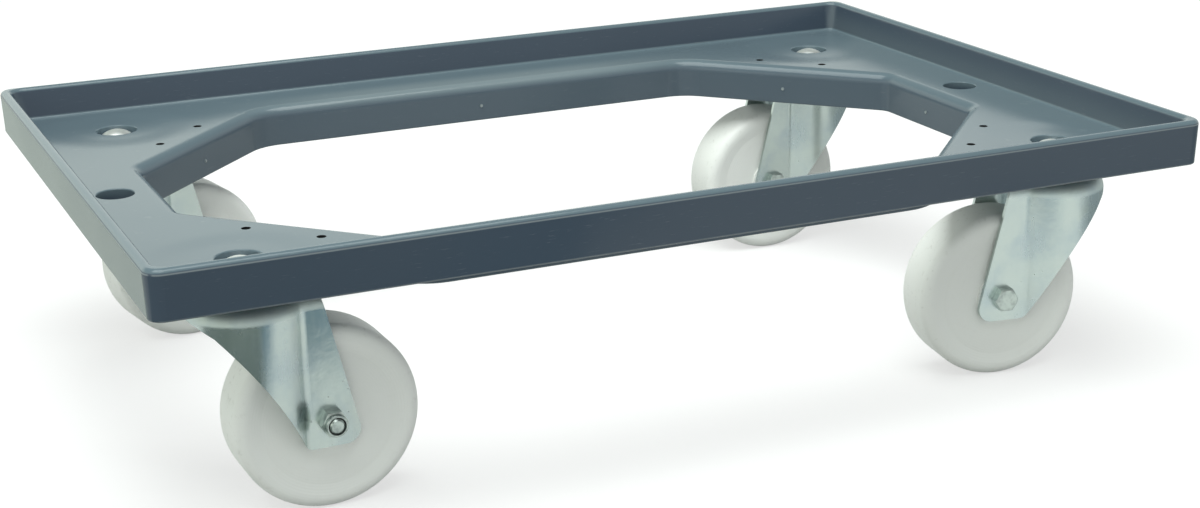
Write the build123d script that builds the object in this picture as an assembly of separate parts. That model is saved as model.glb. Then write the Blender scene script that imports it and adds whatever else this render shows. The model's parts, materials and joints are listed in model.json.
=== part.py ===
from build123d import *
import math
import os

# Platform dolly: a moulded tray with an eight-sided opening, on four swivel casters.
# Millimetres, +Z up, ground at Z = 0, origin under the middle of the tray, long side along X.

# Tray, overall
deck_length = 615.0          # over the rim's top edge
deck_width = 415.0
deck_corner_radius = 9.0     # plan corners, outside
tray_corner_radius = 8.0     # plan corners, inside the rim
rim_height = 19.5            # rim top above the floor
rim_thickness = 6.0          # at the top edge
rim_inner_draft = 3.5        # the rim is this much thicker at the floor
rim_edge_radius = 2.9
wall_height = 26.4           # rim top down to the wall's lower edge
wall_draft = 1.0             # the wall's lower edge stands in by this much
lower_wall_thickness = 5.0
wall_foot_radius = 1.0
floor_thickness = 4.0
floor_fillet = 1.5           # where the rim meets the floor

# Opening in the floor and its hanging skirt
end_ledge = 54.2             # rim's outer edge to the opening, at the short ends
side_ledge = 52.5            # the same, at the long sides
opening_cut_x = 101.0        # corner cuts that make the opening eight-sided
opening_cut_y = 105.7
opening_corner_radius = 10.0 # beside the short sides
opening_side_radius = 28.0   # beside the long sides
opening_edge_radius = 7.0
skirt_depth = 25.3           # floor top down to the skirt's lower edge
skirt_thickness = 4.0
skirt_foot_radius = 1.0
pip_diameter = 2.0           # moulding mark on each skirt face
pip_height = 0.6
pip_drop = 15.3              # floor top down to the mark

# Ribs under the floor
rib_thickness = 3.0
rib_relief = 3.0             # ribs end this far above the skirt's lower edge
rib_pitch = 100.0            # along the long sides
end_rib_offset = 32.0        # either side of each mid hole

# Places for casters and holes
swivel_inset_x = 60.2        # rim's outer edge to the swivel axis
swivel_inset_y = 63.3
pad_radius = 33.0            # round pad under the floor at each swivel axis
pad_depth = 7.5
recess_diameter = 24.5       # round recess above each swivel axis
recess_depth = 5.0
mid_hole_diameter = 21.0
mid_hole_depth = 16.0        # through the floor and its collar
mid_hole_wall = 3.0          # collar under the floor
hole_edge_radius = 0.8       # upper edges of the recesses and mid holes
mid_hole_inset = 28.8        # rim's outer edge to the mid hole, at the short ends
small_hole_diameter = 5.0
small_hole_reach = 44.3      # swivel axis to the pair's middle, towards the opening
small_hole_spacing = 45.0

# Wheel
wheel_diameter = 100.0
wheel_width = 34.0
tread_edge_radius = 6.0
disc_depth = 1.0             # the side disc lies this far below the rim band
rim_band = 1.5               # flat band between the tread's rounding and the disc's slope
disc_slope = 6.0             # radial width of that slope
disc_edge_radius = 6.0
hub_diameter = 30.0
hub_step = 0.5               # each hub face stands proud of the rim band
hub_clearance = 0.25         # each hub face to its fork leg
bore_clearance = 0.05        # radial, wheel on its tube

# Fork
trail = 37.3                 # swivel axis to axle, level
crown_above_wheel = 20.5     # top of the wheel to top of the crown
sheet = 2.5
head_radius = 31.5
head_blend_radius = 6.0      # where the round head meets the flat legs
crown_edge_radius = 9.0
crown_back = 34.7            # swivel axis to the crown's trailing edge
nose_depth = 15.0            # crown down to the corner where the leading edge starts
nose_reach = 21.5            # swivel axis to that corner
nose_slope = 35.0            # degrees; the wall's lower edge rises from that corner to the front
leading_bulge = 3.3          # rise of the curved leading edge above its chord
toe_drop = 14.0              # axle to the leg's lower edge
toe_front = 13.5             # axle to the leg's lower corners
toe_back = 17.5
toe_front_radius = 5.0
toe_back_radius = 8.0
nose_corner_radius = 3.0

# Axle
axle_diameter = 8.0
axle_hole_clearance = 0.2
axle_head_across_flats = 13.0
axle_head_height = 5.3
axle_nut_height = 6.2        # hexagon part of the lock nut
axle_collar_height = 2.6     # round collar of the lock nut
axle_collar_diameter = 12.2
axle_collar_recess = 1.6
axle_collar_edge_radius = 0.8
axle_ring_gap = 0.85         # radial gap round the bolt in the collar
axle_end = 0.4               # bolt end past the nut
axle_end_chamfer = 0.8
axle_tube_diameter = 12.0
axle_tube_clearance = 0.1    # radial, tube over the bolt
hex_top_share = 0.95         # top circle of every hexagon, as a share of its width across flats
hex_turn_angle = 30.0        # slope of the cone that turns off a hexagon's corners

# Swivel head
upper_ball_diameter = 6.0
upper_groove_depth = 1.0
upper_ball_inset = 13.5      # head's outside to the upper ball circle
lower_ball_diameter = 5.0
lower_groove_depth = 0.7
lower_ball_reach = 7.0       # king sleeve's outside to the lower ball circle
ball_clearance = 0.15
ball_spacing = 0.5           # between neighbouring balls
upper_race_thickness = 2.5
upper_race_inset = 7.5       # head's outside to the upper race's outside
upper_race_lip = 1.0         # turned-down lip
upper_race_lip_thickness = 1.5
upper_race_edge_radius = 1.2
lower_race_thickness = 2.5
lower_race_edge_radius = 1.2
lower_race_margin = 4.5      # lower ball circle to the race's outside
sleeve_diameter = 14.0
sleeve_flange_thickness = 1.5
sleeve_flange_margin = 3.0
crown_hole_clearance = 1.0

# Mounting bolt
mount_bolt_diameter = 10.0
mount_bolt_clearance = 0.25
mount_head_diameter = 21.0
mount_head_height = 5.5
mount_head_edge = 1.0        # height of the head's straight edge
mount_nut_across_flats = 16.0
mount_nut_height = 8.0
mount_bolt_end = 1.5

# Rest angle of each caster: direction from the swivel axis to the axle, in degrees from +X
caster_places = {
    "front_left": (-1, -1, 1.2),
    "front_right": (1, -1, 171.5),
    "rear_left": (-1, 1, 9.8),
    "rear_right": (1, 1, 178.9),
}

# Heights, from the ground up
wheel_radius = wheel_diameter / 2
axle_height = wheel_radius
crown_top = wheel_diameter + crown_above_wheel
crown_under = crown_top - sheet
upper_race_under = crown_top + upper_ball_diameter - 2 * upper_groove_depth
upper_race_top = upper_race_under + upper_race_thickness
floor_under = upper_race_top + pad_depth
floor_top = floor_under + floor_thickness
rim_top = floor_top + rim_height
wall_bottom = rim_top - wall_height
skirt_bottom = floor_top - skirt_depth
recess_floor = floor_top - recess_depth
mid_hole_bottom = floor_top - mid_hole_depth
lower_race_top = crown_under - lower_ball_diameter + 2 * lower_groove_depth
lower_race_under = lower_race_top - lower_race_thickness
sleeve_bottom = lower_race_under - sleeve_flange_thickness
mount_nut_under = sleeve_bottom - mount_nut_height

# Widths across the caster
hub_length = wheel_width + 2 * hub_step
fork_gap = hub_length + 2 * hub_clearance
leg_outside = fork_gap / 2 + sheet
upper_circle = head_radius - upper_ball_inset
lower_circle = sleeve_diameter / 2 + lower_ball_reach

# Places in plan
opening_half_x = deck_length / 2 - end_ledge
opening_half_y = deck_width / 2 - side_ledge
swivel_x = deck_length / 2 - swivel_inset_x
swivel_y = deck_width / 2 - swivel_inset_y
mid_hole_x = deck_length / 2 - mid_hole_inset
corner_signs = [(sx, sy) for sx in (-1, 1) for sy in (-1, 1)]
slant_length = math.hypot(opening_cut_x, opening_cut_y)
slant_x = opening_cut_y / slant_length   # direction square to the slanting sides
slant_y = opening_cut_x / slant_length


def cylinder_up(radius, low, high):
    """Upright cylinder about the Z axis, between two heights."""
    return Pos(0, 0, low) * Cylinder(radius, high - low, align=(Align.CENTER, Align.CENTER, Align.MIN))


def drafted_block(length, width, radius, top, height, draft):
    """Block with rounded plan corners that narrows downwards by draft on every side."""
    taper = math.degrees(math.atan2(draft, height))
    block = extrude(RectangleRounded(length, width, radius), height, taper=taper)
    return Pos(0, 0, top) * Rot(180, 0, 0) * block


def opening_outline(margin):
    """Eight-sided outline of the opening, moved outwards by margin."""
    side_x = opening_half_x - opening_cut_x
    side_y = opening_half_y - opening_cut_y
    corner_radii = [
        ((opening_half_x, -side_y), opening_corner_radius),
        ((opening_half_x, side_y), opening_corner_radius),
        ((side_x, opening_half_y), opening_side_radius),
        ((-side_x, opening_half_y), opening_side_radius),
    ]
    corner_radii += [((-x, -y), radius) for (x, y), radius in corner_radii]
    outline = make_face(Polyline(*[corner for corner, radius in corner_radii], close=True))
    outline = round_corners(outline, corner_radii)
    return offset(outline, margin) if margin else outline


def prism(outline, low, high):
    """Upright prism of a plan outline between two heights."""
    return extrude(Pos(0, 0, low) * outline, high - low)


def round_corners(face, corner_radii):
    """Round chosen corners of a face, each given by its place and radius."""
    for (x, y), radius in corner_radii:
        face = fillet(face.vertices().sort_by_distance((x, y, 0))[0], radius)
    return face


def tray_shell():
    """Rim and floor slab, with rounded rim edges and a fillet round the floor."""
    shell = drafted_block(deck_length, deck_width, deck_corner_radius, rim_top, wall_height, wall_draft)
    shell = fillet(shell.edges().group_by(Axis.Z)[0], wall_foot_radius)
    length = deck_length - 2 * rim_thickness
    width = deck_width - 2 * rim_thickness
    shell -= drafted_block(length, width, tray_corner_radius, rim_top, rim_height, rim_inner_draft)
    shell = fillet(shell.edges().filter_by_position(Axis.Z, floor_top, floor_top), floor_fillet)
    shell = fillet(shell.edges().group_by(Axis.Z)[-1], rim_edge_radius)
    lower_inset = 2 * (wall_draft + lower_wall_thickness)
    under = RectangleRounded(deck_length - lower_inset, deck_width - lower_inset, tray_corner_radius)
    return shell - prism(under, wall_bottom, floor_under)


def rib(opening_half, deck_half):
    """Triangular rib under the floor, along +X from the skirt out to the rim's wall."""
    skirt_x = opening_half + skirt_thickness / 2
    wall_x = deck_half - wall_draft - lower_wall_thickness / 2
    corners = [
        (skirt_x, skirt_bottom + rib_relief),
        (skirt_x, floor_under),
        (wall_x, floor_under),
        (wall_x, wall_bottom + wall_foot_radius),
    ]
    return extrude(Plane.XZ * make_face(Polyline(*corners, close=True)), rib_thickness / 2, both=True)


def floor_ribs():
    """All the ribs under the floor."""
    end_rib = rib(opening_half_x, deck_length / 2)
    side_rib = rib(opening_half_y, deck_width / 2)
    count = int((opening_half_x - opening_cut_x) / rib_pitch)
    ribs = []
    for turn in (0, 180):
        ribs += [Rot(0, 0, turn) * Pos(0, sy * end_rib_offset, 0) * end_rib for sy in (-1, 1)]
        ribs += [Rot(0, 0, turn + 90) * Pos(0, step * rib_pitch, 0) * side_rib
                 for step in range(-count, count + 1)]
    return ribs


def skirt_pips():
    """One small round moulding mark on every skirt face, half way along it."""
    slant_angle = math.degrees(math.atan2(slant_y, slant_x))
    slant_middle_x = opening_half_x - opening_cut_x / 2
    slant_middle_y = opening_half_y - opening_cut_y / 2
    places = [(0, sy * opening_half_y, 90) for sy in (-1, 1)]
    places += [(sx * opening_half_x, 0, 0) for sx in (-1, 1)]
    places += [(sx * slant_middle_x, sy * slant_middle_y, sx * sy * slant_angle) for sx, sy in corner_signs]
    pip = Rot(0, 90, 0) * Cylinder(pip_diameter / 2, 2 * pip_height)
    return [Pos(x, y, floor_top - pip_drop) * Rot(0, 0, angle) * pip for x, y, angle in places]


def small_hole_places():
    """Plan places of the small holes: at each corner a pair beside the opening's slanting side."""
    places = []
    for sx, sy in corner_signs:
        for across in (-small_hole_spacing / 2, small_hole_spacing / 2):
            x = swivel_x - small_hole_reach * slant_x - across * slant_y
            y = swivel_y - small_hole_reach * slant_y + across * slant_x
            places.append((sx * x, sy * y))
    return places


def at_swivel_axes(shape):
    """Copies of a shape at the four swivel axes."""
    return [Pos(sx * swivel_x, sy * swivel_y, 0) * shape for sx, sy in corner_signs]


def at_mid_holes(shape):
    """Copies of a shape at the two mid holes."""
    return [Pos(sx * mid_hole_x, 0, 0) * shape for sx in (-1, 1)]


def deck_holes():
    """Every hole through the floor."""
    bolt_hole = cylinder_up(mount_bolt_diameter / 2 + mount_bolt_clearance, upper_race_top, recess_floor)
    recess = cylinder_up(recess_diameter / 2, recess_floor, floor_top)
    mid_hole = cylinder_up(mid_hole_diameter / 2, mid_hole_bottom, floor_top)
    small_hole = cylinder_up(small_hole_diameter / 2, floor_under, floor_top)
    holes = at_swivel_axes(bolt_hole + recess)
    holes += at_mid_holes(mid_hole)
    holes += [Pos(x, y, 0) * small_hole for x, y in small_hole_places()]
    return holes


def opening_edges(body):
    """Upper edges of the opening, apart from the floor's outer edges at the same height."""
    edges = body.edges().filter_by_position(Axis.Z, floor_top, floor_top)
    reach_x = opening_half_x + skirt_thickness
    reach_y = opening_half_y + skirt_thickness
    return [edge for edge in edges if abs(edge.center().X) < reach_x and abs(edge.center().Y) < reach_y]


def hole_edges(body):
    """Upper edges of the recesses and mid holes, told apart from other arcs by their radius."""
    edges = body.edges().filter_by(GeomType.CIRCLE).filter_by_position(Axis.Z, floor_top, floor_top)
    radii = [recess_diameter / 2, mid_hole_diameter / 2]
    return [edge for edge in edges if any(math.isclose(edge.radius, radius) for radius in radii)]


def deck():
    """The moulded tray, with a skirt round the opening, and pads, collars and ribs under the floor."""
    body = tray_shell() + prism(opening_outline(skirt_thickness), skirt_bottom, floor_top)
    body += at_swivel_axes(cylinder_up(pad_radius, upper_race_top, floor_under))
    body += at_mid_holes(cylinder_up(mid_hole_diameter / 2 + mid_hole_wall, mid_hole_bottom, floor_under))
    body += floor_ribs()
    body -= prism(opening_outline(0), skirt_bottom, floor_top)
    body = fillet(opening_edges(body), opening_edge_radius)
    body = fillet(body.edges().filter_by_position(Axis.Z, skirt_bottom, skirt_bottom), skirt_foot_radius)
    body -= deck_holes()
    return fillet(hole_edges(body), hole_edge_radius) + skirt_pips()


def head_outline(inset):
    """Plan of the fork's wall: a round head blended into two parallel legs."""
    reach = trail + toe_back + toe_back_radius + sheet + inset
    outline = Circle(head_radius - inset)
    outline += Pos(reach / 2, 0) * Rectangle(reach, 2 * (leg_outside - inset))
    inner_corners = outline.vertices().sort_by(Axis.X)[:2]
    return fillet(inner_corners, head_blend_radius + inset)


def fork_profile():
    """Side view of the fork, as a slab that trims the drawn cup."""
    toe_z = axle_height - toe_drop
    nose_z = crown_top - nose_depth
    front = -head_radius - sheet
    front_z = nose_z + (-nose_reach - front) * math.tan(math.radians(nose_slope))
    nose = Vector(-nose_reach, nose_z)
    toe = Vector(trail - toe_front, toe_z)
    chord = toe - nose
    middle = (nose + toe) * 0.5 + Vector(-chord.Y, chord.X).normalized() * leading_bulge
    line = Polyline((toe.X, toe.Y), (trail + toe_back, toe_z), (crown_back, crown_top), (front, crown_top),
                    (front, front_z), (nose.X, nose.Y))
    line += ThreePointArc((nose.X, nose.Y), (middle.X, middle.Y), (toe.X, toe.Y))
    face = round_corners(make_face(line), [
        ((toe.X, toe.Y), toe_front_radius),
        ((trail + toe_back, toe_z), toe_back_radius),
        ((nose.X, nose.Y), nose_corner_radius),
    ])
    return extrude(Plane.XZ * face, head_radius + sheet, both=True)


def ball_groove(circle, height, ball_diameter):
    """Ring-shaped cut that the balls run in."""
    return Pos(0, 0, height) * Torus(circle, ball_diameter / 2 + ball_clearance)


def upper_ball_height():
    return (crown_top + upper_race_under) / 2


def lower_ball_height():
    return (crown_under + lower_race_top) / 2


def fork():
    """Drawn steel fork: a cup round the swivel axis with two legs."""
    low = axle_height - toe_drop - sheet
    cup = prism(head_outline(0), low, crown_top)
    cup = fillet(cup.edges().group_by(Axis.Z)[-1], crown_edge_radius)
    hollow = prism(head_outline(sheet), low, crown_under)
    hollow = fillet(hollow.edges().group_by(Axis.Z)[-1], crown_edge_radius - sheet)
    body = (cup - hollow) & fork_profile()
    body -= cylinder_up(sleeve_diameter / 2 + crown_hole_clearance, crown_under, crown_top)
    axle_hole = Rot(90, 0, 0) * Cylinder(axle_diameter / 2 + axle_hole_clearance, 2 * leg_outside)
    body -= Pos(trail, 0, axle_height) * axle_hole
    body -= ball_groove(upper_circle, upper_ball_height(), upper_ball_diameter)
    body -= ball_groove(lower_circle, lower_ball_height(), lower_ball_diameter)
    return body


def ball_ring(circle, height, diameter):
    """Full ring of loose balls, as separate solids."""
    count = int(2 * math.pi * circle / (diameter + ball_spacing))
    ball = Pos(circle, 0, height) * Sphere(diameter / 2)
    return Compound(children=[Rot(0, 0, 360 * step / count) * ball for step in range(count)])


def upper_race():
    """Pressed disc with a turned-down lip and a groove on its underside."""
    outside = head_radius - upper_race_inset
    lip_bottom = upper_race_under - upper_race_lip
    body = cylinder_up(outside, lip_bottom, upper_race_top)
    body = fillet(body.edges().group_by(Axis.Z)[-1], upper_race_edge_radius)
    body -= cylinder_up(outside - upper_race_lip_thickness, lip_bottom, upper_race_under)
    body -= cylinder_up(sleeve_diameter / 2, upper_race_under, upper_race_top)
    return body - ball_groove(upper_circle, upper_ball_height(), upper_ball_diameter)


def lower_race():
    """Ring below the crown with a groove on its upper side."""
    body = cylinder_up(lower_circle + lower_race_margin, lower_race_under, lower_race_top)
    body = fillet(body.edges().group_by(Axis.Z)[0], lower_race_edge_radius)
    body -= cylinder_up(sleeve_diameter / 2, lower_race_under, lower_race_top)
    return body - ball_groove(lower_circle, lower_ball_height(), lower_ball_diameter)


def king_sleeve():
    """Hollow rivet from the upper race down to its flange under the lower race."""
    body = cylinder_up(sleeve_diameter / 2, sleeve_bottom, upper_race_top)
    body += cylinder_up(sleeve_diameter / 2 + sleeve_flange_margin, sleeve_bottom, lower_race_under)
    return body - cylinder_up(mount_bolt_diameter / 2 + mount_bolt_clearance, sleeve_bottom, upper_race_top)


def hexagon(across_flats, height):
    """Hexagonal prism standing on Z = 0, with its upper corners turned off by a shallow cone."""
    top_radius = hex_top_share * across_flats / 2
    foot_radius = top_radius + height / math.tan(math.radians(hex_turn_angle))
    cone = Cone(foot_radius, top_radius, height, align=(Align.CENTER, Align.CENTER, Align.MIN))
    return extrude(RegularPolygon(across_flats / 2, 6, major_radius=False), height) & cone


def mounting_bolt():
    """Mushroom-head bolt that hangs the caster from the tray's recess."""
    radius = mount_head_diameter / 2
    edge_z = recess_floor + mount_head_edge
    top_z = recess_floor + mount_head_height
    rise = mount_head_height - mount_head_edge
    dome_radius = (radius ** 2 + rise ** 2) / (2 * rise)
    half_turn = math.asin(radius / dome_radius) / 2
    middle = (dome_radius * math.sin(half_turn), top_z - dome_radius * (1 - math.cos(half_turn)))
    line = Polyline((0, top_z), (0, recess_floor), (radius, recess_floor), (radius, edge_z))
    line += ThreePointArc((radius, edge_z), middle, (0, top_z))
    head = revolve(Plane.XZ * make_face(line), Axis.Z)
    return head + cylinder_up(mount_bolt_diameter / 2, mount_nut_under - mount_bolt_end, recess_floor)


def mounting_nut():
    """Nut under the king sleeve's flange."""
    nut = Pos(0, 0, sleeve_bottom) * Rot(180, 0, 0) * hexagon(mount_nut_across_flats, mount_nut_height)
    return nut - cylinder_up(mount_bolt_diameter / 2, mount_nut_under, sleeve_bottom)


def on_axle(shape):
    """Turn a shape built along Z so that it lies along the axle, head side towards +Y."""
    return Pos(trail, 0, axle_height) * Rot(-90, 0, 0) * shape


def axle_bolt():
    """Hex bolt through both legs."""
    end = leg_outside + axle_nut_height + axle_collar_height + axle_end
    shank = cylinder_up(axle_diameter / 2, -end, leg_outside)
    shank = chamfer(shank.edges().group_by(Axis.Z)[0], axle_end_chamfer)
    return on_axle(shank + Pos(0, 0, leg_outside) * hexagon(axle_head_across_flats, axle_head_height))


def axle_nut():
    """Lock nut: a hexagon with a round collar that leaves a ring gap round the bolt's end."""
    nut = hexagon(axle_head_across_flats, axle_nut_height)
    top = axle_nut_height + axle_collar_height
    collar = cylinder_up(axle_collar_diameter / 2, 0, top)
    nut += fillet(collar.edges().group_by(Axis.Z)[-1], axle_collar_edge_radius)
    nut -= cylinder_up(axle_diameter / 2, 0, top)
    nut -= cylinder_up(axle_diameter / 2 + axle_ring_gap, top - axle_collar_recess, top)
    return on_axle(Rot(180, 0, 0) * Pos(0, 0, leg_outside) * nut)


def axle_tube():
    """Spacer tube between the legs."""
    tube = cylinder_up(axle_tube_diameter / 2, -fork_gap / 2, fork_gap / 2)
    return on_axle(tube - cylinder_up(axle_diameter / 2 + axle_tube_clearance, -fork_gap / 2, fork_gap / 2))


def wheel():
    """One-piece wheel: rounded tread, shallow side discs and a plain bore."""
    half = wheel_width / 2
    disc_half = half - disc_depth
    bore = axle_tube_diameter / 2 + bore_clearance
    slope_out = wheel_radius - tread_edge_radius - rim_band
    slope_in = slope_out - disc_slope
    side = [(bore, hub_length / 2), (hub_diameter / 2, hub_length / 2), (hub_diameter / 2, disc_half),
            (slope_in, disc_half), (slope_out, half), (wheel_radius, half)]
    section = make_face(Polyline(*side, *[(r, -z) for r, z in reversed(side)], close=True))
    corner_radii = [((slope_in, disc_half), disc_edge_radius), ((slope_out, half), disc_edge_radius),
                    ((wheel_radius, half), tread_edge_radius)]
    corner_radii += [((r, -z), radius) for (r, z), radius in corner_radii]
    section = round_corners(section, corner_radii)
    return on_axle(revolve(Plane.XZ * section, Axis.Z))


def caster():
    """Every piece of one caster, with its swivel axis on Z and its axle towards +X."""
    return {
        "mounting_bolt": mounting_bolt(),
        "mounting_nut": mounting_nut(),
        "upper_race": upper_race(),
        "upper_balls": ball_ring(upper_circle, upper_ball_height(), upper_ball_diameter),
        "king_sleeve": king_sleeve(),
        "fork": fork(),
        "lower_balls": ball_ring(lower_circle, lower_ball_height(), lower_ball_diameter),
        "lower_race": lower_race(),
        "axle_bolt": axle_bolt(),
        "axle_nut": axle_nut(),
        "axle_tube": axle_tube(),
        "wheel": wheel(),
    }


os.makedirs("parts", exist_ok=True)
export_step(deck(), "parts/deck.step")
pieces = caster()
for corner, (sx, sy, angle) in caster_places.items():
    place = Pos(sx * swivel_x, sy * swivel_y, 0) * Rot(0, 0, angle)
    for name, piece in pieces.items():
        export_step(place * piece, f"parts/{corner}_{name}.step")
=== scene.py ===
import json
import math
import bpy
import bmesh
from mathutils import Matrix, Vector


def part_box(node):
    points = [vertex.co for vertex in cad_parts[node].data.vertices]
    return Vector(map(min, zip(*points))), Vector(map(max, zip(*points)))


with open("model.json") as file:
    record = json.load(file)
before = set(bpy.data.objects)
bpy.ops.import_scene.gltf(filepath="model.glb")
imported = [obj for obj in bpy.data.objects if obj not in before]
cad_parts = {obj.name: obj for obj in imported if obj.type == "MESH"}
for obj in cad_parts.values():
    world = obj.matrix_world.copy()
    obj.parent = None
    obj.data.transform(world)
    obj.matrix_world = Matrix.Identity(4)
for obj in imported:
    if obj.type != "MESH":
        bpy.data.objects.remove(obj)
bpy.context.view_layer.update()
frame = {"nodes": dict(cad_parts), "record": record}                  # metres, +Z up, ground at Z = 0
nodes = frame["nodes"]
print("dolly loaded with", len(nodes), "nodes")


class Wire:                        # one socket that can stand in a sum
    def __init__(self, graph, socket):
        self.graph = graph
        self.socket = socket

    def maths(self, operation, *terms):
        return self.graph.add("ShaderNodeMath", {"operation": operation}, dict(enumerate(terms)))

    def __add__(self, other):
        return self.maths("ADD", self, other)

    def __sub__(self, other):
        return self.maths("SUBTRACT", self, other)

    def __rsub__(self, other):
        return self.maths("SUBTRACT", other, self)

    def __mul__(self, other):
        return self.maths("MULTIPLY", self, other)

    def __pow__(self, other):
        return self.maths("POWER", self, other)

    def __abs__(self):
        return self.maths("ABSOLUTE", self)

    def larger(self, other):
        return self.maths("MAXIMUM", self, other)

    def sine(self):
        return self.maths("SINE", self)

    def swing(self, spread):       # a noise, from 0 to 1, as a rise and fall about nought
        return (self - 0.5) * spread

    __radd__ = __add__
    __rmul__ = __mul__


class Graph:                       # the nodes of one finish, or of the studio's light
    def __init__(self, owner):
        owner.use_nodes = True
        self.owner = owner
        self.tree = owner.node_tree
        self.tree.nodes.clear()

    def add(self, kind, settings, sockets, out=0):
        node = self.tree.nodes.new(kind)
        for key, value in settings.items():
            setattr(node, key, value)
        for key, value in sockets.items():
            if isinstance(value, Wire):
                self.tree.links.new(value.socket, node.inputs[key])
            else:
                node.inputs[key].default_value = value
        return Wire(self, node.outputs[out]) if node.outputs else None

    def split(self, vector):       # x, y and z of a vector
        first = self.add("ShaderNodeSeparateXYZ", {}, {"Vector": vector})
        return [Wire(self, socket) for socket in first.socket.node.outputs]

    def join(self, x, y, z):
        return self.add("ShaderNodeCombineXYZ", {}, {"X": x, "Y": y, "Z": z})

    def place(self, centre=(0, 0, 0), turn=0.0):   # measured from a centre, and turned about Z
        coords = self.add("ShaderNodeTexCoord", {}, {}, "Object")
        sockets = {"Vector": coords, "Location": centre, "Rotation": (0, 0, turn)}
        return self.add("ShaderNodeMapping", {"vector_type": "TEXTURE"}, sockets)

    def noise(self, where, scale, detail=2.0, rough=0.5):
        sockets = {"Vector": where, "Scale": scale, "Detail": detail, "Roughness": rough}
        return self.add("ShaderNodeTexNoise", {}, sockets, "Fac")

    def ease(self, value, low, high, start=0.0, end=1.0):   # smooth step from low to high
        sockets = {"Value": value, "From Min": low, "From Max": high, "To Min": start, "To Max": end}
        return self.add("ShaderNodeMapRange", {"interpolation_type": "SMOOTHSTEP"}, sockets)

    def tint(self, factor, first, second):
        sockets = {0: factor, 6: colour(first), 7: colour(second)}   # the mix node's colour sockets
        return self.add("ShaderNodeMix", {"data_type": "RGBA"}, sockets, 2)

    def bump(self, height, distance, under=None):
        sockets = {"Height": height, "Distance": distance, "Strength": 1.0}
        if under:
            sockets["Normal"] = under
        return self.add("ShaderNodeBump", {}, sockets)

    def finish(self, sockets):
        shader = self.add("ShaderNodeBsdfPrincipled", {}, sockets)
        self.add("ShaderNodeOutputMaterial", {}, {"Surface": shader})
        return self.owner


def colour(value):
    return value if isinstance(value, Wire) else (*value, 1)


def newFinish(name):
    return Graph(bpy.data.materials.new(name))


def dress(node, finish):
    for slot in nodes[node].material_slots:
        slot.material = finish


def middle(node):                  # of the node's box
    low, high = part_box(node)
    return (low + high) / 2


def casterPlace(corner):           # where a caster swivels and rolls, and its turn at rest
    swivel = middle(corner + "_mounting_bolt")
    roll = middle(corner + "_wheel")
    return {"swivel": swivel, "roll": roll, "turn": math.atan2(roll.y - swivel.y, roll.x - swivel.x)}


corners = ("front_left", "front_right", "rear_left", "rear_right")
casters = {corner: casterPlace(corner) for corner in corners}
mounts = {mount["name"]: mount for mount in frame["record"]["mounts"]}

# in the names below, Noise is a scale, detail and roughness, Fade is where a mask begins and
# where it is full, Show is its weight, Dull is what it adds to the roughness, Depth is a bump's
deck = {
    "slate": (0.050, 0.070, 0.100),
    "slatePale": (0.058, 0.080, 0.110),
    "skirt": (0.091, 0.122, 0.154),    # painted light, the opening's faces paler than the outside
    "litEndWall": (0.094, 0.122, 0.148),  # painted light inside the short ends of the rim
    "wornAndLit": (0.118, 0.163, 0.190),     # the tray's floor and upper edges, worn pale, and painted light from above
    "rubbedAndLit": (0.175, 0.220, 0.240),   # the palest of it, a painted light along the middle of the long sides
    # scratches, and the painted highlight lines round the walls
    "scuffAndHighlight": (0.30, 0.34, 0.35),
    "holeShade": (0.004, 0.005, 0.006),    # painted shade in the small holes
    "ior": 1.38,
    "gloss": 0.17,
    "cloudDull": 0.10,
    "scuffAndHighlightDull": 0.25,
    "holeShadeDull": 0.6,
    "cloudNoise": (7.0, 3.0),
    "waveNoise": (9.0, 1.0),
    "grainNoise": (1600.0, 2.0),
    "scratchNoise": (900.0, 3.0, 0.7),
    "scratchStretch": 0.12,            # scratches run level
    "scratchFade": (0.62, 0.74),
    "scratchShow": 0.10,
    "wallFade": (-0.0025, -0.0015),    # from the outer walls inwards, as are the next three
    "trayFade": (-0.006, -0.009),
    "skirtFade": (-0.02, -0.04),
    "litEndWallFade": (-0.016, -0.011),
    "seamDrop": 0.0026,                # the mould's seam below the rim's top, painted pale as a highlight line
    "seamFade": (0.0007, 0.0),
    "seamHighlightShow": 0.55,
    "wallFoot": 0.1316,
    "footFade": (0.0013, 0.0006),      # a painted highlight, a pale line above the walls' foot
    "footHighlightShow": 0.35,
    "rimFade": (-0.0022, -0.0014),     # below the rim's top, which is worn and painted light
    "edgeFade": (-0.006, -0.0008),     # the opening's rounded edge, below the floor
    "filletFade": (0.0017, 0.0007),    # the walls' inner fillet, above the floor
    "wornAndLitShow": 0.80,
    "wornAndLitCloud": 0.35,
    "rubbedAndLitAlongFade": (0.20, 0.06),
    "rubbedAndLitAcrossFade": (0.185, 0.167),
    "warpFade": (0.23, 0.08),          # the floor rises towards the middle of each long side
    "warpDepth": 0.05,
    "waveDepth": 0.0008,
    "sinkFade": (0.0495, 0.0231),      # the floor sinks round the casters' bolts
    "sinkRagged": 0.02,
    "sinkDepth": 0.0005,
    "grainDepth": 0.00002,
    "holeFade": (1.06, 1.03),          # in radii of the small holes
    "pips": [(0.0, 0.155), (0.2533, 0.0), (0.2028, 0.1022)],   # in one quarter of the tray
    "pipHeight": 0.1232,
    "pipFade": (0.0014, 0.00084),
}
halfLength, halfWidth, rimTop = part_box("deck")[1]   # the tray's middle is at the origin
floorTop = mounts["tray_floor"]["pos_m"][2]


def fromSpot(x, y, spot):          # distance in plan, the same in all four quarters of the tray
    return ((abs(x) - spot[0]) ** 2 + (abs(y) - spot[1]) ** 2) ** 0.5


def deckPips(g, x, y, z):          # the small pale moulding marks on the skirt
    pips = 0.0
    for pip in deck["pips"]:
        fromPip = (fromSpot(x, y, pip) ** 2 + (z - deck["pipHeight"]) ** 2) ** 0.5
        pips = g.ease(fromPip, *deck["pipFade"]) + pips
    return pips


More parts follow.
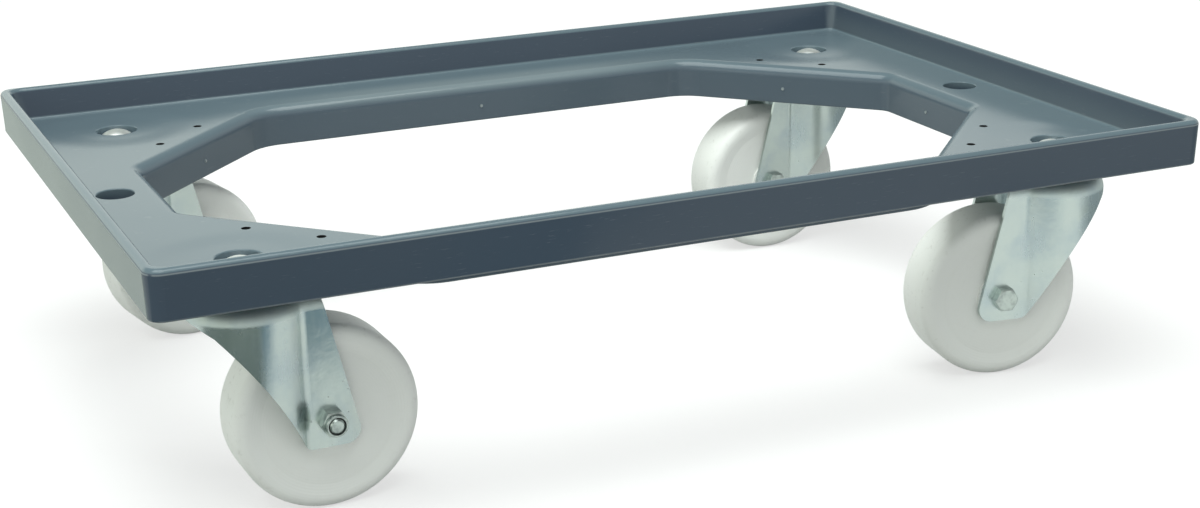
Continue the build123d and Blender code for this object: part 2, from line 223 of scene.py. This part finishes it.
def deckHoleShading(g, x, y):            # painted shade inside the small holes, a pair beside each caster
    pair = mounts["rear_right_small_holes"]
    centre = Vector(pair["pos_m"]).xy
    outwards = (casters["rear_right"]["swivel"].xy - centre).normalized()
    step = outwards.orthogonal() * pair["dims"]["pcd_mm"] / 2000   # half the pitch, in metres
    radius = pair["dims"]["hole_r_mm"] / 1000
    fade = [radius * part for part in deck["holeFade"]]
    return g.ease(fromSpot(x, y, centre + step), *fade) + g.ease(fromSpot(x, y, centre - step), *fade)


def deckScuffAndHighlights(g, x, y, z, outside):   # scratches, the painted highlight lines round the walls, and the pips
    stretch = deck["scratchStretch"]
    scratch = g.noise(g.join(x * stretch, y * stretch, z), *deck["scratchNoise"])
    onWall = g.ease(outside, *deck["wallFade"])
    # painted highlight along the mould's seam
    seamHighlight = g.ease(abs(z - (rimTop - deck["seamDrop"])), *deck["seamFade"]) * onWall
    # painted highlight above the walls' foot
    footHighlight = g.ease(z - deck["wallFoot"], *deck["footFade"]) * onWall
    highlightLines = seamHighlight * deck["seamHighlightShow"] + footHighlight * deck["footHighlightShow"]
    return g.ease(scratch, *deck["scratchFade"]) * deck["scratchShow"] + highlightLines + deckPips(g, x, y, z)


def deckColour(g, x, y, z, cloud, acrossEnd, outside):
    inTray = g.ease(outside, *deck["trayFade"])
    wornAndLit = g.ease(z - floorTop, *deck["edgeFade"]) * g.ease(z - floorTop, *deck["filletFade"]) * inTray
    rim = g.ease(z - rimTop, *deck["rimFade"])
    rubbedAndLit = g.ease(abs(x), *deck["rubbedAndLitAlongFade"]) * g.ease(abs(y), *deck["rubbedAndLitAcrossFade"])
    base = g.tint(cloud, deck["slate"], deck["slatePale"])
    # painted light on the opening's faces
    base = g.tint(g.ease(outside, *deck["skirtFade"]), base, deck["skirt"])
    # painted light inside the short ends
    base = g.tint(g.ease(acrossEnd, *deck["litEndWallFade"]) * inTray, base, deck["litEndWall"])
    # wear and painted light on the floor, the opening's rounded edge and the rim's top
    base = g.tint(wornAndLit * (deck["wornAndLitShow"] + cloud * deck["wornAndLitCloud"]) + rim, base, deck["wornAndLit"])
    # painted light, palest along the middle of the long sides
    return g.tint(wornAndLit * rubbedAndLit, base, deck["rubbedAndLit"])


def deckNormal(g, where, x, y):    # the warped floor, its waves, its sinks and the grain
    wave = g.noise(where, *deck["waveNoise"])
    fromBolt = fromSpot(x, y, casters["rear_right"]["swivel"])
    sink = g.ease(fromBolt + wave.swing(deck["sinkRagged"]), *deck["sinkFade"])
    normal = g.bump(g.ease(abs(x), *deck["warpFade"]) * abs(y), deck["warpDepth"])
    normal = g.bump(wave, deck["waveDepth"], normal)
    normal = g.bump(1.0 - sink, deck["sinkDepth"], normal)
    return g.bump(g.noise(where, *deck["grainNoise"]), deck["grainDepth"], normal)


def deckPlastic():
    g = newFinish("deckPlastic")
    where = g.place()
    x, y, z = g.split(where)
    cloud = g.noise(where, *deck["cloudNoise"])
    acrossEnd = abs(x) - halfLength
    outside = acrossEnd.larger(abs(y) - halfWidth)   # 0 at the outer walls, less inside them
    scuffAndHighlight = deckScuffAndHighlights(g, x, y, z, outside)
    holes = deckHoleShading(g, x, y)
    base = g.tint(scuffAndHighlight, deckColour(g, x, y, z, cloud, acrossEnd, outside), deck["scuffAndHighlight"])
    # painted shade inside the small holes
    base = g.tint(holes, base, deck["holeShade"])
    rough = deck["gloss"] + cloud.swing(deck["cloudDull"])
    rough = rough + scuffAndHighlight * deck["scuffAndHighlightDull"] + holes * deck["holeShadeDull"]
    normal = deckNormal(g, where, x, y)
    return g.finish({"Base Color": base, "Roughness": rough, "Normal": normal, "IOR": deck["ior"]})


def fromAxle(g, where):            # the axle runs along Y
    along, _, up = g.split(where)
    return (along ** 2 + up ** 2) ** 0.5


wheel = {
    "white": (0.88, 0.89, 0.875),
    "milk": (0.83, 0.84, 0.815),
    "dust": (0.45, 0.45, 0.41),
    "ior": 1.48,
    "gloss": 0.38,
    "bandDull": 0.10,
    "dirtDull": 0.3,
    "cloudNoise": (22.0, 3.0),
    "cloudShow": 0.55,
    "bandNoise": (160.0, 2.0),         # turned rings of tone
    "bandShow": 0.45,
    "scrapeNoise": (260.0, 3.0, 0.65),
    "scrapeFade": (0.55, 0.75),
    "scrapeDepth": 0.00004,
    "treadFade": (0.044, 0.049),       # from the axle
    "treadDirt": 0.22,
    "faceDirt": 0.04,
    "ringPitch": 0.0016,               # fine turning marks on the faces
    "ringDepth": 0.000012,
}


def wheelPlastic(corner):
    g = newFinish("wheelPlastic_" + corner)
    where = g.place(casters[corner]["roll"], casters[corner]["turn"])
    radius = fromAxle(g, where)
    rings = (radius * (2 * math.pi / wheel["ringPitch"])).sine()
    band = g.noise(g.join(radius, 0.0, 0.0), *wheel["bandNoise"])
    cloud = g.noise(where, *wheel["cloudNoise"])
    scrape = g.noise(where, *wheel["scrapeNoise"])
    tread = g.ease(radius, *wheel["treadFade"])
    dirt = g.ease(scrape, *wheel["scrapeFade"]) * (tread * wheel["treadDirt"] + wheel["faceDirt"])
    tone = cloud * wheel["cloudShow"] + band * wheel["bandShow"]
    base = g.tint(dirt, g.tint(tone, wheel["white"], wheel["milk"]), wheel["dust"])
    rough = wheel["gloss"] + band.swing(wheel["bandDull"]) + dirt * wheel["dirtDull"]
    normal = g.bump(rings * (1.0 - tread), wheel["ringDepth"])
    normal = g.bump(scrape, wheel["scrapeDepth"], normal)
    return g.finish({"Base Color": base, "Roughness": rough, "Normal": normal, "IOR": wheel["ior"]})


zinc = {
    # painted light: each corner's zinc made brighter or darker, as its reflections differ
    "paintedCornerLight": {"front_left": 1.0, "front_right": 1.08, "rear_left": 1.0, "rear_right": 1.0},
    "pale": (0.54, 0.60, 0.58),
    "blue": (0.46, 0.53, 0.55),
    "straw": (0.50, 0.51, 0.44),
    "pit": (0.10, 0.11, 0.11),
    "gloss": 0.25,
    "cloudDull": 0.16,
    "streakDull": 0.10,
    "pitDull": 0.3,
    "crownDull": 0.30,                 # the crown is rougher than the legs
    "crownFade": (0.1105, 0.1145),     # heights of the crown's rounding
    "cloudNoise": (38.0, 4.0, 0.6),
    "cloudDepth": 0.00025,
    "blueFade": (0.35, 0.70),
    "toneNoise": (17.0, 2.0),
    "strawFade": (0.52, 0.75),
    "strawShow": 0.5,
    "streakNoise": (420.0, 2.0),
    "streakStretch": 0.08,             # streaks run up and down
    "streakDepth": 0.00002,
    "spotNoise": (520.0, 2.0),
    "pitFade": (0.70, 0.76),
    "pitPatchFade": (0.42, 0.62),
    "pitShow": 0.7,
}


def zincSheet(corner):
    g = newFinish("zincSheet_" + corner)
    where = g.place((*casters[corner]["swivel"].xy, 0), casters[corner]["turn"])
    along, across, up = g.split(where)
    cloud = g.noise(where, *zinc["cloudNoise"])
    tone = g.noise(where, *zinc["toneNoise"])
    streak = g.noise(g.join(along, across, up * zinc["streakStretch"]), *zinc["streakNoise"])
    spots = g.noise(where, *zinc["spotNoise"])
    pits = g.ease(spots, *zinc["pitFade"]) * g.ease(tone, *zinc["pitPatchFade"])
    crown = g.ease(up, *zinc["crownFade"])
    # painted light, per corner
    paintedCornerLight = zinc["paintedCornerLight"][corner]
    pale, blue, straw = [[part * paintedCornerLight for part in zinc[key]] for key in ("pale", "blue", "straw")]
    base = g.tint(g.ease(cloud, *zinc["blueFade"]), pale, blue)
    base = g.tint(g.ease(tone, *zinc["strawFade"]) * zinc["strawShow"], base, straw)
    base = g.tint(pits * zinc["pitShow"], base, zinc["pit"])
    rough = zinc["gloss"] + cloud.swing(zinc["cloudDull"]) + streak.swing(zinc["streakDull"])
    rough = rough + pits * zinc["pitDull"] + crown * zinc["crownDull"]
    normal = g.bump(streak, zinc["streakDepth"])
    normal = g.bump(cloud, zinc["cloudDepth"], normal)
    return g.finish({"Base Color": base, "Roughness": rough, "Normal": normal, "Metallic": 1.0})


bolt = {
    "bright": (0.90, 0.93, 0.91),
    "grey": (0.74, 0.78, 0.77),
    "gloss": 0.42,
    "cloudDull": 0.2,
    "cloudNoise": (130.0, 3.0, 0.6),
    "greyFade": (0.35, 0.70),
    "turnedNoise": (900.0, 2.0),
    "turnedDepth": 0.00002,
}


def zincBolt():
    g = newFinish("zincBolt")
    where = g.place()
    cloud = g.noise(where, *bolt["cloudNoise"])
    base = g.tint(g.ease(cloud, *bolt["greyFade"]), bolt["bright"], bolt["grey"])
    rough = bolt["gloss"] + cloud.swing(bolt["cloudDull"])
    normal = g.bump(g.noise(where, *bolt["turnedNoise"]), bolt["turnedDepth"])
    return g.finish({"Base Color": base, "Roughness": rough, "Normal": normal, "Metallic": 1.0})


axle = {
    "face": (0.55, 0.61, 0.58),
    "dull": (0.34, 0.38, 0.37),
    # painted shade, black in the lock nut's middle
    "nutShade": (0.010, 0.010, 0.011),
    "gloss": 0.34,
    "cloudDull": 0.2,
    "cloudNoise": (170.0, 3.0, 0.6),
    "cloudDepth": 0.00006,
    "dullFade": (0.38, 0.68),
    "shadedCoreFade": (0.00475, 0.00485),  # the painted shade in the lock nut ends here, from the axle
}


def axleZinc(name, corner, shadedCore):
    g = newFinish(name + "_" + corner)
    where = g.place(casters[corner]["roll"], casters[corner]["turn"])
    cloud = g.noise(where, *axle["cloudNoise"])
    base = g.tint(g.ease(cloud, *axle["dullFade"]), axle["face"], axle["dull"])
    metal = 1.0
    # painted shade: black, not metal, in the nut's middle
    if shadedCore:
        metal = g.ease(fromAxle(g, where), *axle["shadedCoreFade"])
        base = g.tint(metal, axle["nutShade"], base)
    rough = axle["gloss"] + cloud.swing(axle["cloudDull"])
    normal = g.bump(cloud, axle["cloudDepth"])
    return g.finish({"Base Color": base, "Roughness": rough, "Normal": normal, "Metallic": metal})


ball = {                           # steel under dark grease
    "steel": (0.16, 0.15, 0.14),
    "oiled": (0.06, 0.05, 0.04),
    "gloss": 0.30,
    "filmDull": 0.15,
    "filmNoise": (240.0, 3.0),
    "oiledFade": (0.45, 0.75),
}


def ballSteel():
    g = newFinish("ballSteel")
    film = g.noise(g.place(), *ball["filmNoise"])
    base = g.tint(g.ease(film, *ball["oiledFade"]), ball["steel"], ball["oiled"])
    rough = ball["gloss"] + film * ball["filmDull"]
    return g.finish({"Base Color": base, "Roughness": rough, "Metallic": 1.0})


dress("deck", deckPlastic())
boltFinish = zincBolt()
ballFinish = ballSteel()
for corner in corners:
    sheetFinish = zincSheet(corner)
    for name in ("fork", "upper_race", "lower_race", "king_sleeve"):
        dress(corner + "_" + name, sheetFinish)
    for name in ("mounting_bolt", "mounting_nut", "axle_tube"):
        dress(corner + "_" + name, boltFinish)
    for name, shadedCore in (("axle_bolt", False), ("axle_nut", True)):
        dress(corner + "_" + name, axleZinc(name, corner, shadedCore))
    for name in ("upper_balls", "lower_balls"):
        dress(corner + "_" + name, ballFinish)
    dress(corner + "_wheel", wheelPlastic(corner))
print("finishes on every node")


studio = {
    "white": (1.0, 1.0, 1.0),
    "floorSize": 30.0,
    "floorColour": (0.40, 0.40, 0.40),
    "speckle": (0.44, 0.44, 0.44),
    "speckleNoise": (3.0, 2.0),
    "speckleShow": 0.06,
    "floorLift": 0.60,                 # glow of the floor that the camera sees
    "farLift": 0.86,                   # the same, out where the lamp fades
    "lampReach": (1.2, 6.0),           # where the lamp begins to fade, and where it has gone
    "floorGlow": 0.44,                 # glow of the floor in reflections
    "glowTint": (0.93, 1.0, 0.95),
    "leftLight": 1.45,                 # pale band low round the studio, on the left and behind
    "leftTint": (0.93, 1.0, 0.90),
    "frontLight": 0.85,                # the same band in front and on the right
    "lightTint": (0.95, 1.0, 0.975),
    "leftLean": 0.4,                   # how far the left part reaches round behind
    "leftFade": (-0.7, 0.9),
    "bandFade": (0.56, 0.36),          # sines of the heights where the band ends and is full
    "skyLight": 0.22,                  # above the band
    "boxPlace": (-0.7, -0.9, 4.2),     # the soft lamp overhead
    "boxSize": 3.8,
    "boxPower": 230.0,
    "cardHeight": 0.002,
    "cards": {                         # flat on the floor, seen in reflections only
        "darkCard": {"colour": (0.125, 0.152, 0.145),
                     "corners": [(-0.85, -0.70), (-0.055, -0.70), (-0.26, -0.14), (-0.85, -0.14)]},
        "blueCard": {"colour": (0.04, 0.13, 0.20),
                     "corners": [(-0.055, -0.70), (0.25, -0.70), (-0.004, -0.45), (-0.180, -0.36)]},
        "greyCard": {"colour": (0.26, 0.29, 0.30),
                     "corners": [(0.42, -0.46), (0.95, -0.46), (0.95, 0.32), (0.42, 0.32)]},
        "greenCard": {"colour": (0.63, 0.68, 0.62),
                      "corners": [(-0.62, 0.05), (-0.34, 0.05), (-0.34, 1.10), (-0.62, 1.10)]},
    },
}


def paleFloor():
    g = newFinish("paleFloor")
    seen = g.add("ShaderNodeLightPath", {}, {}, "Is Camera Ray")
    rays = seen.socket.node.outputs
    mirrored = Wire(g, rays["Is Glossy Ray"]).larger(Wire(g, rays["Is Transmission Ray"]))
    where = g.place()
    x, y, _ = g.split(where)
    far = (x ** 2 + y ** 2) ** 0.5
    lift = g.ease(far, *studio["lampReach"], studio["floorLift"], studio["farLift"])
    glow = seen * lift + (1.0 - seen) * mirrored * studio["floorGlow"]
    speckle = g.noise(where, *studio["speckleNoise"]) * studio["speckleShow"]
    base = g.tint(speckle, studio["floorColour"], studio["speckle"])
    paint = g.add("ShaderNodeBsdfDiffuse", {}, {"Color": base})
    tint = g.tint(seen, studio["glowTint"], studio["white"])
    light = g.add("ShaderNodeEmission", {}, {"Color": tint, "Strength": glow})
    both = g.add("ShaderNodeAddShader", {}, {0: paint, 1: light})
    g.add("ShaderNodeOutputMaterial", {}, {"Surface": both})
    return g.owner


def makeFloor():
    mesh = bpy.data.meshes.new("floor")
    shape = bmesh.new()
    bmesh.ops.create_grid(shape, x_segments=1, y_segments=1, size=studio["floorSize"] / 2)
    shape.to_mesh(mesh)
    shape.free()
    floor = bpy.data.objects.new("floor", mesh)
    mesh.materials.append(paleFloor())
    bpy.context.scene.collection.objects.link(floor)


def makeCard(name, look):
    g = newFinish(name)
    paint = g.add("ShaderNodeBsdfDiffuse", {}, {"Color": colour(look["colour"])})
    g.add("ShaderNodeOutputMaterial", {}, {"Surface": paint})
    mesh = bpy.data.meshes.new(name)
    shape = bmesh.new()
    outline = [shape.verts.new((x, y, studio["cardHeight"])) for x, y in look["corners"]]
    bmesh.ops.contextual_create(shape, geom=outline)
    shape.to_mesh(mesh)
    shape.free()
    mesh.materials.append(g.owner)
    card = bpy.data.objects.new(name, mesh)
    card.visible_camera = False
    card.visible_diffuse = False
    card.visible_shadow = False
    bpy.context.scene.collection.objects.link(card)


def makeWorld():
    world = bpy.data.worlds.new("studio")
    g = Graph(world)
    x, y, z = g.split(g.add("ShaderNodeTexCoord", {}, {}, "Generated"))
    left = g.ease(y * studio["leftLean"] - x, *studio["leftFade"])
    band = studio["frontLight"] + left * (studio["leftLight"] - studio["frontLight"])
    level = studio["skyLight"] + g.ease(z, *studio["bandFade"]) * (band - studio["skyLight"])
    seen = g.add("ShaderNodeLightPath", {}, {}, "Is Camera Ray")
    tint = g.tint(left, studio["lightTint"], studio["leftTint"])
    sockets = {"Color": g.tint(seen, tint, studio["white"]), "Strength": level * (1.0 - seen) + seen}
    g.add("ShaderNodeOutputWorld", {}, {"Surface": g.add("ShaderNodeBackground", {}, sockets)})
    bpy.context.scene.world = world


def makeLamp():
    lamp = bpy.data.lights.new("softBox", "AREA")
    lamp.size = studio["boxSize"]
    lamp.energy = studio["boxPower"]
    lamp.color = studio["lightTint"]
    box = bpy.data.objects.new("softBox", lamp)
    box.location = studio["boxPlace"]
    box.rotation_euler = (-box.location).to_track_quat("-Z", "Y").to_euler()   # towards the dolly
    bpy.context.scene.collection.objects.link(box)


makeFloor()
for name, look in studio["cards"].items():
    makeCard(name, look)
makeWorld()
makeLamp()
print("floor and light")


view = {
    "place": (-0.49021, -1.12616, 0.45718),
    "turn": (72.169, 0.858, -24.496),  # degrees
    "lens": 62.457,                    # millimetres, as the sensor
    "sensor": 36.0,
}


def makeCamera():
    eye = bpy.data.cameras.new("photoView")
    eye.lens = view["lens"]
    eye.sensor_width = view["sensor"]
    eye.sensor_fit = "HORIZONTAL"
    camera = bpy.data.objects.new("photoView", eye)
    camera.location = view["place"]
    camera.rotation_euler = [math.radians(angle) for angle in view["turn"]]
    bpy.context.scene.collection.objects.link(camera)
    bpy.context.scene.camera = camera


makeCamera()
bpy.context.scene.view_settings.view_transform = "Standard"
print("camera")
